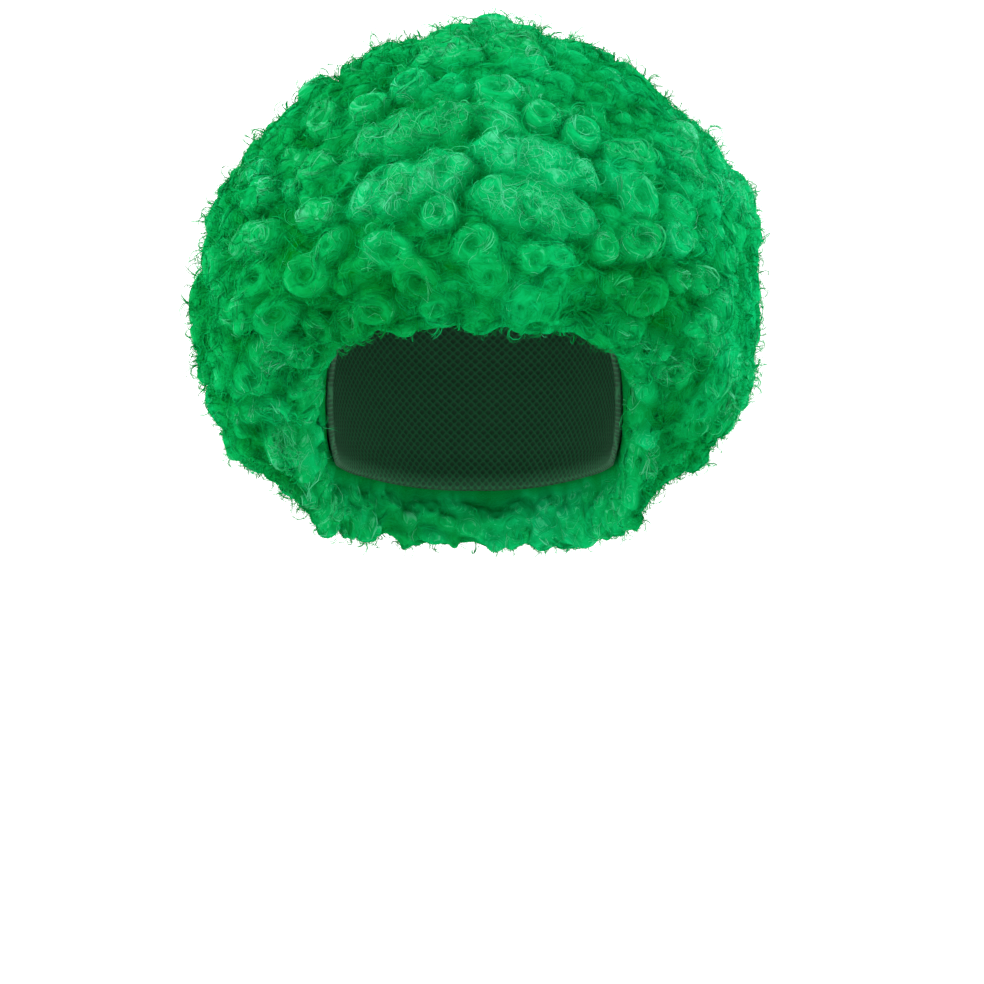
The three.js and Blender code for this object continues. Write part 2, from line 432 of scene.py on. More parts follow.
# Scattered curls: their size over the wig, as a share of the size of their stage.
LEFT_SIZE, RIGHT_LESS = 1.2, 0.4
SIDES = (-110, 110)  # from the left to the right of the front view, in millimetres
SIZE_SPREAD = (0.9, 1.1)
UNDER_CURL = 5.5  # largest radius on the underside
THICKNESS_PART = 0.36  # largest radius elsewhere, as a share of the hair's thickness

# How far they stand out, in millimetres: fuller at the nape and the crown, sunk a little at the front, and
# now and then one that stands proud, for a lumpy outline.
NAPE_RISE, NAPE_SHARE, NAPE_WIDTH, NAPE_SPAN = 3, 0.95, 0.04, (0.4, 0.8)
CROWN_RISE, CROWN_SPAN = 2.5, (0.15, 0.35)
FRONT_SINK, FRONT_SPAN = 0.5, (60, 110)
PATCH_RISE = 12
ALL_SINK = 0.7
PROUD_RISE, PROUD_CHANCE, PROUD_SHARE = 4.2, 0.14, 0.85
UNDER_RISE = 1.0

# Rolls among them: how often, down to which share, how long for their radius, and how they lie in degrees.
ROLL_CHANCE, ROLL_SHARE, ROLL_LENGTHS, LIE_SPREAD = 0.45, 0.92, (2.2, 3.4), 50
LONG_ENDS = 0.32  # where a long curl keeps others clear, as a share of its length either way


def scatter_curls(rng, sizes):
    """Places curls: first those that stand out in the picture, then large, middle and small ones by throwing
    darts that keep clear of each other. Returns one row a curl: azimuth, share, radius, length, lie, rise."""
    rows = np.array(SEEN_CURLS, float)
    blocked = [rows[:, :3]]
    for x, y, radius, length, lie, _ in SEEN_CURLS:
        if length > LONG:
            along = np.array([-LONG_ENDS, LONG_ENDS])[:, None] * length / PIXEL
            way = np.array([np.cos(np.radians(lie)), -np.sin(np.radians(lie))])
            blocked.append(np.concatenate([along * way + (x, y), [[radius], [radius]]], 1))
    blocked = np.concatenate(blocked)
    taken_points = hair_point(*seen_place(blocked[:, 0], blocked[:, 1]))
    taken_radii = blocked[:, 2]
    rows[:, 0], rows[:, 1] = seen_place(rows[:, 0], rows[:, 1])
    rows = [rows]
    large, small = sizes.large_curl / MM, sizes.small_curl / MM
    for share_of_range, tries, lowest, highest in CURL_STAGES:
        azimuth = rng.uniform(0, 360, tries)
        share = rng.uniform(0.0, LAST_SHARE, tries)
        area = surface_area(azimuth, share)
        kept = rng.uniform(0, area.max(), tries) < area
        azimuth, share = azimuth[kept], share[kept]
        points = hair_point(azimuth, share)
        many = len(points)
        side = smoothstep(points[:, 0], *SIDES)
        radius = (small + (large - small) * share_of_range) * (LEFT_SIZE - RIGHT_LESS * side)
        radius = radius * rng.uniform(*SIZE_SPREAD, many)
        widest = np.where(share > UNDERSIDE, UNDER_CURL, THICKNESS_PART * hair_thickness(azimuth, share))
        radius = np.minimum(radius, widest)
        nape = NAPE_RISE * np.exp(-(((share - NAPE_SHARE) / NAPE_WIDTH) ** 2))
        nape = nape * smoothstep(-np.cos(np.radians(azimuth)), *NAPE_SPAN)
        crown = CROWN_RISE * (1 - smoothstep(share, *CROWN_SPAN))
        front = smoothstep(-points[:, 1], *FRONT_SPAN)
        rise = rng.uniform(lowest, highest, many) + PATCH_RISE * patches(points) + nape + crown
        rise = rise - FRONT_SINK * front - ALL_SINK
        proud = (rng.uniform(size=many) < PROUD_CHANCE) * (1 - front) * (share < PROUD_SHARE)
        rise = rise + PROUD_RISE * proud
        rise = np.where(share < UNDERSIDE, rise, rng.uniform(-UNDER_RISE, UNDER_RISE, many))
        rolled = rng.uniform(size=many) < ROLL_CHANCE * (share < ROLL_SHARE)
        length = np.where(rolled, radius * rng.uniform(*ROLL_LENGTHS, many), 0.0)
        lie = rng.normal(0, LIE_SPREAD, many)
        for at in range(many):
            gap = np.linalg.norm(taken_points - points[at], axis=1)
            if np.all(gap > CLEAR * (taken_radii + radius[at])):
                taken_points = np.vstack([taken_points, points[at]])
                taken_radii = np.append(taken_radii, radius[at])
                rows.append(np.array([(azimuth[at], share[at], radius[at], length[at], lie[at], rise[at])]))
    return np.concatenate(rows)


PATCH = 0.07  # change of tone in a patch


def patches(points):
    """Slow changes over the hair, where curls stand prouder and are lighter: sums of sines of the place,
    with lengths in millimetres."""
    x, y, z = points.T
    return PATCH * np.sin(x / 17 + 0.6 * np.sin(z / 23)) + PATCH * np.sin(z / 15 + x / 41 + np.sin(y / 21))


# Form of a curl, in shares of its radius: those placed from the picture have one value, the others a range.
SEEN_RIM, RIMS = 0.64, (0.3, 0.62)
SEEN_BOWL, BOWLS = 0.42, (0.1, 0.4)
RING_LEANS = (0.1, 0.34)
OVALS = (1.0, 1.25)
FRIZZY_DROP, ROLL_DROP, SEEN_DROP, RING_DROP = 0.52, 0.66, 0.5, 0.45
LEFT_DROP, LEFT_SPAN = 0.45, (-110, 0)  # the valleys are deeper on the left
SEEN_FULL, ROLL_FULL = 1.7, 1.4  # how full a roll is across: the power of the parabola

# Tone of a curl: yellower on the left and bluer on the right; painted deeper in the fringe, as painted shade
# where it turns down and under, and low on the right, as painted shade on the side away from the key light.
TONE, TONE_SPREAD = 0.5, 0.12
TONE_SWAY, TONE_LENGTH = 0.19, 70
FRINGE_SHADE_TONE, FRINGE_FULL = 0.2, 0.98
LOW_SHADE_TONE, LOW_SHARES, LOW_SPAN = 0.26, (0.66, 0.92), (30, 80)


def curl_frames(rng, rows):
    """Where each curl sits on the hair's form, the ways along, across and out of it, its sizes, its tone and
    its frizz. A ring has a rim round a shallow bowl and leans some way, and a roll lies along the form."""
    azimuth, share, radius, length, lie, rise = rows.T
    many = len(rows)
    out = hair_out(azimuth, share)
    right = unit(np.cross(np.array([0.0, 0.0, 1.0]), out) + np.array([1e-4, 0, 0]))
    up = np.cross(out, right)
    rolled, frizzy = length > 0, length > FRIZZY
    seen = np.arange(many) < len(SEEN_CURLS)
    turn = np.where(rolled, np.radians(lie), rng.uniform(0, np.pi, many))
    axis = right * np.cos(turn)[:, None] + up * np.sin(turn)[:, None]
    rim = np.where(seen, SEEN_RIM, rng.uniform(*RIMS, many))
    lean = np.where(rolled, 0, rng.uniform(*RING_LEANS, many))
    lean_way = rng.uniform(0, 2 * np.pi, many)
    foot = hair_point(azimuth, share)
    low = LOW_SHADE_TONE * smoothstep(share, *LOW_SHARES) * smoothstep(foot[:, 0], *LOW_SPAN)
    tone = rng.normal(TONE, TONE_SPREAD, many) + TONE_SWAY * np.sin(foot[:, 0] / TONE_LENGTH) + patches(foot)
    tone = tone - FRINGE_SHADE_TONE * in_fringe(azimuth, share, FRINGE_FULL) - low
    drop = np.where(rolled, np.where(frizzy, FRIZZY_DROP, ROLL_DROP), np.where(seen, SEEN_DROP, RING_DROP))
    deeper = 1 + LEFT_DROP - LEFT_DROP * smoothstep(foot[:, 0], *LEFT_SPAN)
    return {
        "foot": foot,
        "axis": axis,
        "side": np.cross(out, axis),
        "out": out,
        "radius": radius,
        "rim": rim * radius,
        "flank": (1 - rim) * radius,
        "bowl": np.where(seen, SEEN_BOWL, rng.uniform(*BOWLS, many)) * radius,
        "drop": drop * radius * deeper,
        "half": np.maximum(length / 2, radius),
        "rise": rise,
        "lean": lean * np.cos(lean_way),
        "lean_aside": lean * np.sin(lean_way),
        "rolled": rolled,
        "full": np.where(seen, SEEN_FULL, ROLL_FULL),
        "oval": np.where(rolled, 1.0, rng.uniform(*OVALS, many)),
        "tone": np.clip(tone, 0.05, 0.95),
        "frizz": 1.0 * frizzy,
    }


CHUNK = 1500  # points worked out at a time
SLIM_ENDS = 0.52  # how much slimmer a roll is at its ends
SLIM_WAVE, SLIM_LENGTH = 0.11, 4.1  # and how its breadth changes along it
LUMP = 0.085  # height of the lumps on a roll, as a share of its radius
LUMPS_ALONG, LUMPS_ASIDE = (3.4, 2.4), (4.5, 4.0)  # lengths of their two waves along and across the roll
SECOND_LUMPS = 0.8  # height of the second wave, as a share of the first
LUMP_START = 40  # turns the tone of a curl to a start of its waves, so that no two are alike
FLATTENED = 0.1  # eases the foot of a curl
REACH_THROUGH = 7  # from this far in front of or behind its foot on, a curl falls off
FALL_THROUGH = 2  # and by how much for each millimetre


def lobe_heights(curls, points, floor):
    """Height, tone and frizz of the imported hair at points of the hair's form: a soft maximum, the logarithm
    of a sum of powers, over the floor and the curls. Over a ring the height dips by a cosine inside the rim,
    falls by a parabola outside it and tilts one way; over a roll it falls by a power of a parabola across the
    axis and has lumps by sums of sines, and the roll is slimmer towards its ends."""
    heights, blends = [], []
    chunks = len(points) // CHUNK + 1
    start = LUMP_START * curls["tone"]
    for some, low in zip(np.array_split(points, chunks), np.array_split(floor, chunks)):
        apart = some[:, None] - curls["foot"]
        ways = (curls["axis"], curls["side"], curls["out"])
        along, aside, through = (np.einsum("nmk,mk->nm", apart, way) for way in ways)
        far = np.hypot(along / curls["oval"], aside * curls["oval"])
        dip = curls["bowl"] * (0.5 + 0.5 * np.cos(np.pi * np.minimum(far / curls["rim"], 1)))
        ring_fall = (np.maximum(far - curls["rim"], 0) / curls["flank"]) ** 2
        slim = 1 - SLIM_ENDS * np.minimum(np.abs(along) / curls["half"], 1) ** 2
        slim = slim * (1 + SLIM_WAVE * np.sin(along / SLIM_LENGTH + start))
        lumps = np.sin(along / LUMPS_ALONG[0] + aside / LUMPS_ASIDE[0])
        crossed = np.sin(along / LUMPS_ALONG[1] - aside / LUMPS_ASIDE[1] + start)
        lumps = lumps + SECOND_LUMPS * crossed
        beyond = np.maximum(np.abs(along) - curls["half"] + curls["radius"], 0)
        roll_fall = (((aside / slim) ** 2 + beyond**2) / curls["radius"] ** 2) ** curls["full"]
        fall = np.where(curls["rolled"], roll_fall, ring_fall)
        height = curls["rise"] - np.where(curls["rolled"], 0, dip)
        height = height - curls["drop"] * fall / (1 + FLATTENED * fall)
        tilt = (curls["lean"] * along + curls["lean_aside"] * aside) * np.exp(-((far / curls["radius"]) ** 2))
        height = height + np.where(curls["rolled"], LUMP * curls["radius"] * lumps, tilt)
        height = height - FALL_THROUGH * np.maximum(np.abs(through) - REACH_THROUGH, 0)
        top = np.maximum(height.max(1), low)
        weight = np.exp(SOFTNESS * (height - top[:, None]))
        total = weight.sum(1) + np.exp(SOFTNESS * (low - top))
        heights.append(top + np.log(total) / SOFTNESS)
        blend = weight @ np.stack([curls["tone"], curls["frizz"]], -1)
        blends.append(blend / np.maximum(weight.sum(1), 1e-6)[:, None])
    return np.column_stack([np.concatenate(heights), np.concatenate(blends)])


def packed_depth(share):
    """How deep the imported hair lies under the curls: less under the edge, where the curls are small."""
    return PACKED_DEPTH + (PACKED_DEPTH_BELOW - PACKED_DEPTH) * smoothstep(share, *PACKED_SHARES)


def pick(curls, index):
    """The curls at an index."""
    return {key: value[index] for key, value in curls.items()}


# Packed hair

ROUNDS = 456  # points of the grid round the wig
CROWN_ROWS = 18
WEFT_ROWS = 21
UNDER_ROWS = 20
GRID_STEP = 2.0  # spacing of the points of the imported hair
LOBE_SINK = 0.9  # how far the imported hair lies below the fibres
SEAMS = CROWN_ROWS + WEFT_ROWS * np.arange(WEFT_COUNT + 1)
ROW_SHARES = np.concatenate(
    [
        np.linspace(0.003, CROWN_SHARE, CROWN_ROWS, endpoint=False),
        np.linspace(CROWN_SHARE, 1, WEFT_ROWS * WEFT_COUNT, endpoint=False),
        np.linspace(1, LAST_SHARE, UNDER_ROWS + 1),
    ]
)


def ring_rows():
    """The first and last row of the grid for the crown and for each ring of hair."""
    firsts = np.concatenate([[0], SEAMS[:-1]])
    lasts = np.concatenate([SEAMS[:-1], [len(ROW_SHARES) - 1]])
    return list(zip(firsts, lasts))


NEAR = 0.25  # curls further than this share from a row are left out of its sum
GRID_PARTS = 12  # parts in which the grid is worked out

# How pale the imported hair is, painted by its height from the floor of the valleys up and eased over the
# highest crests: painted shade deep in the valleys, and on the crests their paler frizz with painted highlight.
CREST_FLOOR, CREST_SPAN = 8.0, 12.0
CREST_KNEE, CREST_OVER, CREST_EASE = 0.6, 0.22, 0.45
# Painted shade of the fringe: its colour is painted deeper, where it turns down and under, up to the share
# FRINGE_SHADED.
FRINGE_SHADE, FRINGE_SHADED = 0.3, 0.95
STREAK = 0.03  # faint streaks across the colour map, as zigzags over the place in millimetres
LEAST_STEP = 0.05  # of the grid across, near the crown
BODY_DEEP, BODY_RANGE = 0.95, 0.9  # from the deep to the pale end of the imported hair's part of the colour map


def zigzag(phase):
    """A wave of straight flanks, from 1 to 0 and back as the phase goes on by 2."""
    return np.abs(phase % 2 - 1)


def packed_hair(curls, curl_shares):
    """The outside of all the hair on one grid of share and azimuth: the hair's form raised to the lobes of
    the curls. level is the way of equal height at each place, across and down, and its length the slope."""
    azimuth = np.arange(ROUNDS) * 360 / ROUNDS
    shares = ROW_SHARES[:, None] + 0 * azimuth
    form, out = hair_point(azimuth, shares), hair_out(azimuth, shares)
    parts = []
    for rows in np.array_split(np.arange(len(ROW_SHARES)), GRID_PARTS):
        low, high = ROW_SHARES[rows[0]], ROW_SHARES[rows[-1]]
        near = np.flatnonzero(np.abs(curl_shares - np.clip(curl_shares, low, high)) < NEAR)
        floor = -packed_depth(shares[rows]).ravel()
        parts.append(lobe_heights(pick(curls, near), form[rows].reshape(-1, 3), floor))
    height, tone, frizz = (values.reshape(shares.shape) for values in np.concatenate(parts).T)
    points = form + (height - LOBE_SINK)[..., None] * out

    def steps(grid):
        """Half the change from the point before to the point after, across and down."""
        return (np.roll(grid, -1, 1) - np.roll(grid, 1, 1)) / 2, np.gradient(grid, axis=0)

    flat_across, flat_down = (np.linalg.norm(step, axis=-1) for step in steps(form))
    step_across, step_down = (np.linalg.norm(step, axis=-1) for step in steps(points))
    slope_across, slope_down = steps(height)
    level = np.stack([-slope_down / flat_down, slope_across / np.maximum(flat_across, LEAST_STEP)], -1)
    # Painted shade and highlight: the lower the hair lies, the deeper its colour; the higher, the paler.
    crest = np.maximum((height + CREST_FLOOR) / CREST_SPAN, 0)
    over = np.maximum(crest - CREST_KNEE, 0)
    crest = np.minimum(crest, CREST_KNEE) + CREST_OVER * (1 - np.exp(-over / CREST_EASE))
    crest = crest * (1 - FRINGE_SHADE * in_fringe(azimuth, shares, FRINGE_SHADED))
    x, y, z = np.moveaxis(form, -1, 0)
    wave = STREAK * zigzag(x / 9 + y / 11 + z / 23)
    ripple = STREAK * zigzag(z / 6 + x / 19)
    deep = BODY_PART * (BODY_DEEP - BODY_RANGE * crest + ripple)
    return {
        "points": points,
        "out": out,
        "tone": tone,
        "crest": crest,
        "frizz": frizz,
        "colour": np.stack([np.clip(tone, 0.05, 0.9) + wave, deep], -1),
        "level": level,
        "across": np.maximum(step_across, LEAST_STEP),
        "down": step_down,
    }


# Painted shade: the two rows hidden against the cap take a low tone and the deep end of the colour map, as the
# shade they lie in.
HIDDEN_TONE, HIDDEN_CHANGE = 0.1, 0.05  # tone of the two rows against the cap, changing by turns
HIDDEN_SHADE_COLOUR = np.array([[0.46], [0.48]])  # and their deep colour
BAND_EDGE = 0.95  # the inside of a band ends at this share, above the edge of the cap


def add_band(collected, hair, first, last):
    """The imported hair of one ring: a closed band cut from the grid, whose section runs down its outside, in
    along the underside and back up its inside."""
    girth = hair["across"][first : last + 1].sum(1).max()
    skip = max(1, int(ROUNDS * GRID_STEP / girth))
    columns = np.arange(0, ROUNDS - skip + 1, skip)
    outside = hair["points"][first : last + 1, columns]
    azimuth = columns * 360 / ROUNDS
    ends = np.minimum(ROW_SHARES[[last, first]], BAND_EDGE)[:, None] * edge_polar(azimuth)
    inside = cap_point(azimuth, ends, np.full(ends.shape, CAP_WALL + 1))
    section = np.concatenate([outside, inside])
    faces = grid_faces(len(section) + 1, len(columns), True) % (len(section) * len(columns))
    tone = HIDDEN_TONE + HIDDEN_CHANGE * (columns // skip % 2)
    hidden = np.stack(np.broadcast_arrays(tone, HIDDEN_SHADE_COLOUR), -1)
    collected.add(section, faces, np.concatenate([hair["colour"][first : last + 1, columns], hidden]))


# Fibres

UNDER_DENSITY = 0.2  # fibres on the underside of the hair, as a share of those elsewhere
EDGE_DENSITY, EDGE_AT, EDGE_WIDTH = 0.8, 1.01, 0.03  # more of them along the lower edge
FRIZZY_STRAYS, FRIZZY_LOOPS = 3.5, 0.8  # and so many times more on brushed-out curls

# Fibres that lie on the hair: how many run together, the points along each, how far they steer along the
# curls, how they bend for each millimetre, how high they stand, and how much paler they are.
LYING_WISPS = {"wisp": 5, "steps": 7, "follow": 0.4, "bend": 0.06, "lift": 0.6, "pale": 0.04}
LYING_STRAYS = {"wisp": 1, "steps": 6, "follow": 0.0, "bend": 0.25, "lift": 0.9, "pale": 0.1}
LENGTH_SHAPE, LENGTH_SCALE, SHORTEST = 6.0, 1.7, 2.0  # of the lengths of wisps, in millimetres
LENGTH_SPREAD = (0.7, 1.2)
LIFT_SHAPE, LIFT_LIMIT = 1.5, 3.0
LIFT_SPREAD = (0.7, 1.3)
ARCH, END_SINK = 0.6, 0.2  # the power of the sine that a fibre arches by, and how deep its ends lie
# How wisps differ from their curl, and fibres from their wisp: place in steps of the grid, way in radians,
# bend for each millimetre, way they face, tone and shade.
SPREAD = {
    "place": 0.35,
    "wisp_way": 0.45,
    "way": 0.08,
    "bend": 0.02,
    "facing": 0.32,
    "wisp_tone": 0.06,
    "tone": 0.04,
    "wisp_shade": 0.075,
    "shade": 0.03,
}

# Fibres that stand off it: how many run together, the points along each, and the radius of their loops.
STANDING_LOOPS = {"wisp": 1, "steps": 5, "size": 1.7}
STANDING_LOCKS = {"wisp": 4, "steps": 7, "size": 3.0}
LOCK_STRAND = 0.8  # width of their strands, as a share of a wisp's
TURNS = (0.8, 1.5)  # how far round a loop goes, in half turns
ROOT_SINK = 0.6  # how deep its root lies in the hair
LOOP_LEAST, LOOP_SHAPE, LOOP_SCALE, LOOP_MOST = 0.3, 3.0, 0.23, 1.1  # of the radii, in shares of the size
RADIUS_SPREAD = (0.85, 1.15)
LOOP_SPREAD = {"way": 0.1, "drift": 0.5, "bend": 0.7, "tone": 0.1, "shade": 0.08}
WIDTHS = (0.6, 1.3)  # spread of the widths of fibres

# How pale a fibre is, painted by height like the imported hair: its painted shade in a valley, and the painted
# light that the crest adds to it, lying and standing.
FIBRE_SHADE, LYING_CREST, STANDING_CREST = 0.13, 0.52, 0.5


def looked_up(grid, row, column):
    """Values of a grid between its points, in straight proportion. Its columns run on round the wig."""
    row = np.clip(row, 0, len(grid) - 1.001)
    above, left = row.astype(int), np.floor(column).astype(int)
    down, over = row - above, column - left
    if grid.ndim == 3:
        down, over = down[..., None], over[..., None]
    left, right = left % ROUNDS, (left + 1) % ROUNDS
    upper = grid[above, left] * (1 - over) + grid[above, right] * over
    lower = grid[above + 1, left] * (1 - over) + grid[above + 1, right] * over
    return upper * (1 - down) + lower * down


def fibre_roots(hair, rng, first, last, each, frizzy=0.0):
    """Rows and columns of the grid where fibres start, each so many on a square centimetre of the packed
    hair, and frizzy times as many more on brushed-out curls."""
    shares = ROW_SHARES[first:last, None]
    edge = np.exp(-(((shares - EDGE_AT) / EDGE_WIDTH) ** 2))
    density = np.where(shares > UNDERSIDE, UNDER_DENSITY, 1.0) + EDGE_DENSITY * edge
    area = hair["across"][first:last] * hair["down"][first:last]
    area = area * density * (1 + frizzy * hair["frizz"][first:last])
    cells = rng.choice(area.size, int(each * area.sum() / 100), p=area.ravel() / area.sum())
    row, column = np.unravel_index(cells, area.shape)
    return first + row + rng.uniform(0, 1, len(cells)), column + rng.uniform(0, 1, len(cells))


TAPER, TIP = 4, 0.15  # how fast a ribbon widens from its tips, and the width of a tip
TONE_ACROSS = 0.012  # change of tone across a ribbon


def add_ribbons(collected, path, side, width, tone, shade):
    """Ribbons along paths, tapered at both ends: path is copies x points x 3, side the unit vector across
    each point."""
    count, steps = path.shape[:2]
    along = np.linspace(0, 1, steps)
    taper = np.clip(TAPER * np.minimum(along, 1 - along) + TIP, 0, 1)
    half = side * (0.5 * width[:, None] * taper)[..., None]
    points = np.stack([path - half, path + half], 2)
    faces = grid_faces(steps, 2, False)
    tones = np.clip(tone[:, None, None] + np.array([0.0, TONE_ACROSS]), 0.01, 0.99)
    shades = BODY_PART + (1 - BODY_PART) * np.clip(shade, 0.03, 0.97)[..., None]
    uv = np.stack(np.broadcast_arrays(tones, shades), -1)
    collected.add(points, repeated(faces, count, 2 * steps), uv)


def add_lying_fibres(collected, hair, rng, roots, width, wisp, steps, follow, bend, lift, pale):
    """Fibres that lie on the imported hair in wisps: each sets out along the lobe that it lies on, where the
    height stays the same, or any way where follow is 0. It goes on in short strides over the grid, bends by
    its own curve, and steers along the lobes by the share follow. Its ends sink into the hair."""
    wisps = len(roots[0])
    many = wisps * wisp

    def shared(values):
        """Values that the fibres of a wisp share."""
        return np.repeat(values, wisp, axis=0)

    row, column = (shared(place) + rng.normal(0, SPREAD["place"] * (wisp > 1), many) for place in roots)
    level = looked_up(hair["level"], *roots)
    anyway = rng.uniform(0, 2 * np.pi, wisps)
    lobe_way = np.arctan2(level[:, 1], level[:, 0]) + rng.normal(0, SPREAD["wisp_way"], wisps)
    start = np.where(follow > 0, lobe_way, anyway)
    heading = shared(start + np.pi * rng.integers(0, 2, wisps)) + rng.normal(0, SPREAD["way"], many)
    length = shared(rng.gamma(LENGTH_SHAPE, LENGTH_SCALE, wisps)) * rng.uniform(*LENGTH_SPREAD, many)
    stride = (length + SHORTEST) / (steps - 1)
    turn = shared(rng.normal(0, bend, wisps)) + rng.normal(0, SPREAD["bend"], many)
    places = []
    for _ in range(steps):
        places.append((row, column))
        row = row + stride * np.sin(heading) / looked_up(hair["down"], row, column)
        column = column + stride * np.cos(heading) / looked_up(hair["across"], row, column)
        level = looked_up(hair["level"], row, column)
        off = np.arctan2(level[:, 1], level[:, 0]) - heading
        off = (off + np.pi / 2) % np.pi - np.pi / 2
        heading = heading + follow * np.minimum(2 * np.hypot(*level.T), 1) * off + turn * stride
    row, column = (np.stack(place, 1) for place in zip(*places))
    arch = np.sin(np.pi * np.linspace(0, 1, steps)) ** ARCH
    height = np.minimum(shared(rng.gamma(LIFT_SHAPE, lift / LIFT_SHAPE, wisps)), LIFT_LIMIT)
    height = height * rng.uniform(*LIFT_SPREAD, many)
    out = looked_up(hair["out"], row, column)
    stand = (height[:, None] + END_SINK) * arch - END_SINK
    path = looked_up(hair["points"], row, column) + out * stand[..., None]
    facing = unit(out + SPREAD["facing"] * rng.normal(size=(many, 1, 3)))
    side = unit(np.cross(np.gradient(path, axis=1), facing))
    tone = looked_up(hair["tone"], row[:, 0], column[:, 0])
    tone = tone + shared(rng.normal(0, SPREAD["wisp_tone"], wisps)) + rng.normal(0, SPREAD["tone"], many)
    shade = FIBRE_SHADE + LYING_CREST * looked_up(hair["crest"], row, column)
    paler = shared(rng.normal(pale, SPREAD["wisp_shade"], wisps)) + rng.normal(0, SPREAD["shade"], many)
    shade = shade + paler[:, None]
    add_ribbons(collected, path, side, width * rng.uniform(*WIDTHS, many), tone, shade)


def add_standing_fibres(collected, hair, rng, roots, width, wisp, steps, size):
    """Stray loops and small curls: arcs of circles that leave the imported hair, stand off it and turn back,
    drifting aside."""
    row, column = (np.repeat(place, wisp) for place in roots)
    wisps, many = len(roots[0]), len(row)
    root, off = looked_up(hair["points"], row, column), unit(looked_up(hair["out"], row, column))
    any_way = np.repeat(unit(rng.normal(size=(wisps, 3))), wisp, axis=0)
    heading = unit(np.cross(off, any_way + LOOP_SPREAD["way"] * rng.normal(size=(many, 3))))
    aside = np.cross(off, heading)
    larger = np.minimum(rng.gamma(LOOP_SHAPE, LOOP_SCALE, wisps), LOOP_MOST)
    radius = np.repeat(size * (LOOP_LEAST + larger), wisp) * rng.uniform(*RADIUS_SPREAD, many)
    angle = np.linspace(0, 1, steps) * np.repeat(rng.uniform(*TURNS, wisps), wisp)[:, None] * np.pi
    drift = np.linspace(-0.5, 0.5, steps) * radius[:, None]
    drift = drift * rng.normal(0, LOOP_SPREAD["drift"], many)[:, None]
    bend = unit(off + np.repeat(rng.normal(0, LOOP_SPREAD["bend"], wisps), wisp)[:, None] * aside)
    circle = (1 - np.cos(angle))[..., None] * bend[:, None] + np.sin(angle)[..., None] * heading[:, None]
    path = root[:, None] + radius[:, None, None] * circle + drift[..., None] * aside[:, None]
    path = path - ROOT_SINK * off[:, None]
    side = unit(np.cross(np.gradient(path, axis=1), unit(rng.normal(size=(many, 1, 3)))))
    tone = looked_up(hair["tone"], row, column) + rng.normal(0, LOOP_SPREAD["tone"], many)
    shade = FIBRE_SHADE + STANDING_CREST * looked_up(hair["crest"], row, column)
    shade = (shade + rng.normal(0, LOOP_SPREAD["shade"], many))[:, None] + np.zeros(steps)
    add_ribbons(collected, path, side, width * rng.uniform(*WIDTHS, many), tone, shade)


# Materials


def add_node(tree, kind, inputs=(), **settings):
    """Adds a node, sets its own settings, and fills or links its inputs by name or number."""
    node = tree.nodes.new(kind)
    for key, value in settings.items():
        setattr(node, key, value)
    for key, value in dict(inputs).items():
        if isinstance(value, bpy.types.NodeSocket):
            tree.links.new(value, node.inputs[key])
        else:
            node.inputs[key].default_value = value
    return node


def new_material(name):
    """An empty node material with its shader and output joined."""
    material = bpy.data.materials.new(name)
    material.use_nodes = True
    tree = material.node_tree
    tree.nodes.clear()
    shader = add_node(tree, "ShaderNodeBsdfPrincipled")
    add_node(tree, "ShaderNodeOutputMaterial", {"Surface": shader.outputs["BSDF"]})
    return material, tree, shader


